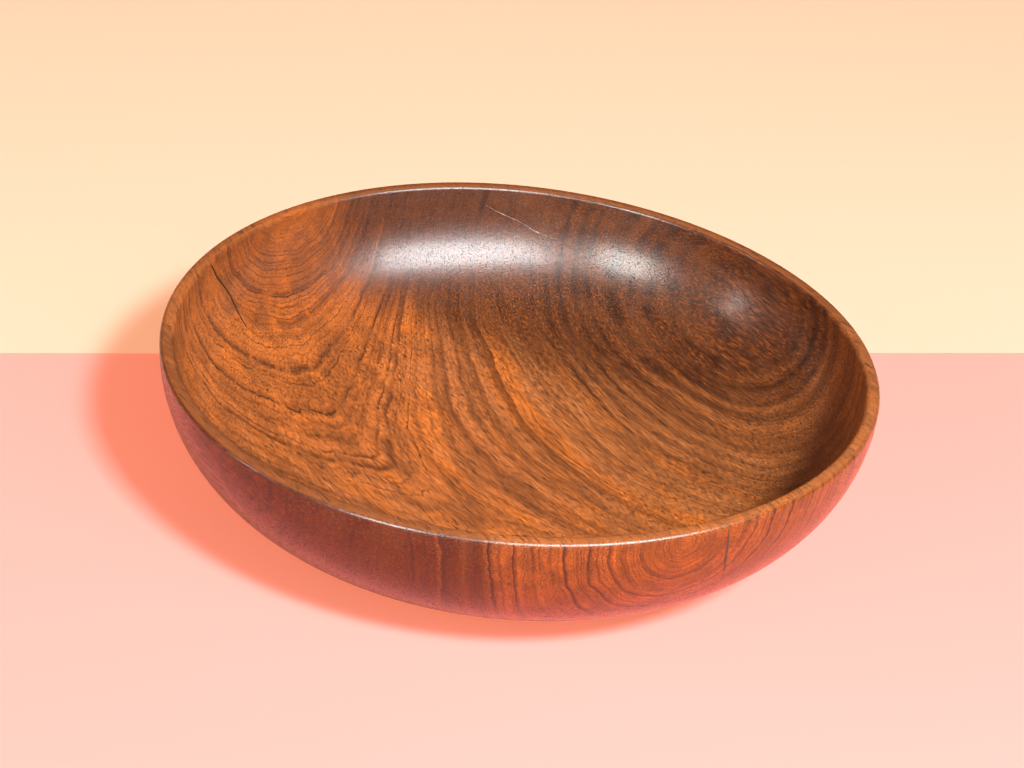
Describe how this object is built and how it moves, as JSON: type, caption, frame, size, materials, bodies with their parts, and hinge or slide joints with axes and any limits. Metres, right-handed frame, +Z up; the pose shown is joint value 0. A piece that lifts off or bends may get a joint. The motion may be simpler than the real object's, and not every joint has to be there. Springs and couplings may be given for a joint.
{
  "type": "carved wooden bowl",
  "caption": "Wide, shallow round bowl carved from one block of hardwood, with a thin rim, a rounded belly, a low foot and filled drying checks.",
  "frame": {"origin": "centre of the foot's resting face, on the surface that the bowl stands on", "axes": "+Z up out of the bowl along its axis; -Y towards the front, where the front check is in the right half of the outside; +X to the right"},
  "size_m": [0.25, 0.25, 0.062],
  "materials": {
    "bowl_wood": "oiled and polished hardwood, satin gloss, red-brown with dark growth rings and open pores",
    "dark_filler": "wood dust and glue, rubbed down flush, dull",
    "pale_filler": "wax and polish left in a hairline crack, semi-matt",
    "knot_wood": "hard dark knot wood, polished"
  },
  "bodies": {
    "root": {"bowl": "bowl_wood", "front_check_filler": "dark_filler", "left_check_filler": "dark_filler", "back_check_filler": "pale_filler", "pin_knot": "knot_wood"}
  },
  "joints": []
}
